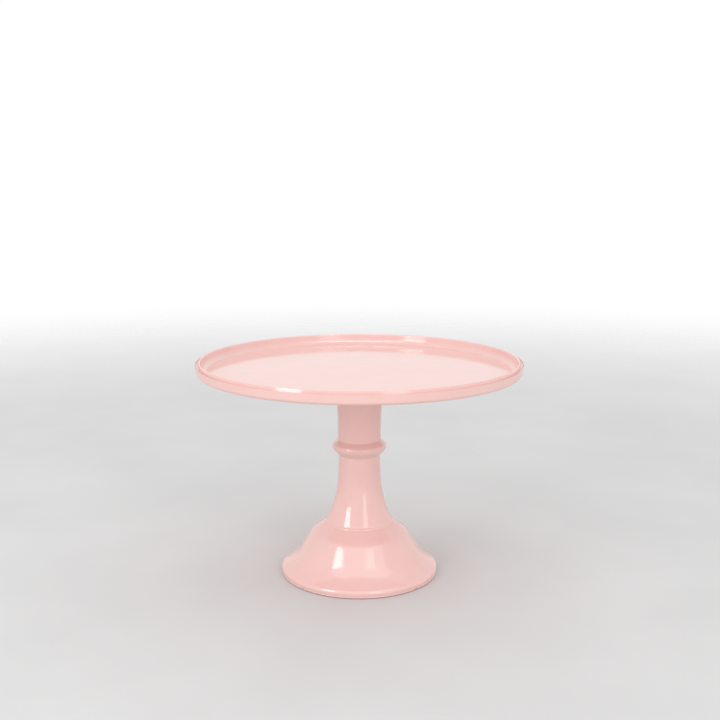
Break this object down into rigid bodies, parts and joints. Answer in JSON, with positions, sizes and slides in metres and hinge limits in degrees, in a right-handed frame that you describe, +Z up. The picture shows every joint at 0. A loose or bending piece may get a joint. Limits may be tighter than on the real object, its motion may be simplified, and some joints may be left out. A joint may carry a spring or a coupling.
{
  "type": "cake stand",
  "caption": "Round footed cake stand: a flat plate with a raised lip that screws onto a hollow turned pedestal with a bead and a stepped foot.",
  "frame": {"origin": "on the stand's vertical axis, at the surface that its foot pads rest on", "axes": "+Z up along the axis of the pedestal and the plate; the stand is a body of revolution, with its four foot pads at 45 degrees to X and Y"},
  "size_m": [0.2996, 0.2996, 0.2038],
  "materials": {
    "melamine": "glossy pale pink moulding",
    "silicone": "translucent white, matte",
    "brass": "turned",
    "steel": "bright zinc plate"
  },
  "bodies": {
    "pedestal": {"pedestal": "melamine", "pedestal_insert": "brass", "foot_pad_1": "silicone", "foot_pad_2": "silicone", "foot_pad_3": "silicone", "foot_pad_4": "silicone"},
    "gasket": {"plate_gasket": "silicone"},
    "plate": {"plate": "melamine", "plate_insert": "brass", "plate_stud": "steel", "stud_washer": "steel", "stud_lock_nut": "steel"}
  },
  "joints": [
    {"name": "plate_rise", "type": "slide", "parent": "pedestal", "child": "gasket", "axis": [0, 0, 1], "range_m": [0, 0.019]},
    {"name": "plate_turn", "type": "hinge", "parent": "gasket", "child": "plate", "pos_m": [0, 0, 0.1835], "axis": [0, 0, 1], "range_deg": [0, 5470]}
  ],
  "couplings": [
    {"joint": "plate_rise", "follows": "plate_turn", "m_per_rad": 0.00019894}
  ]
}
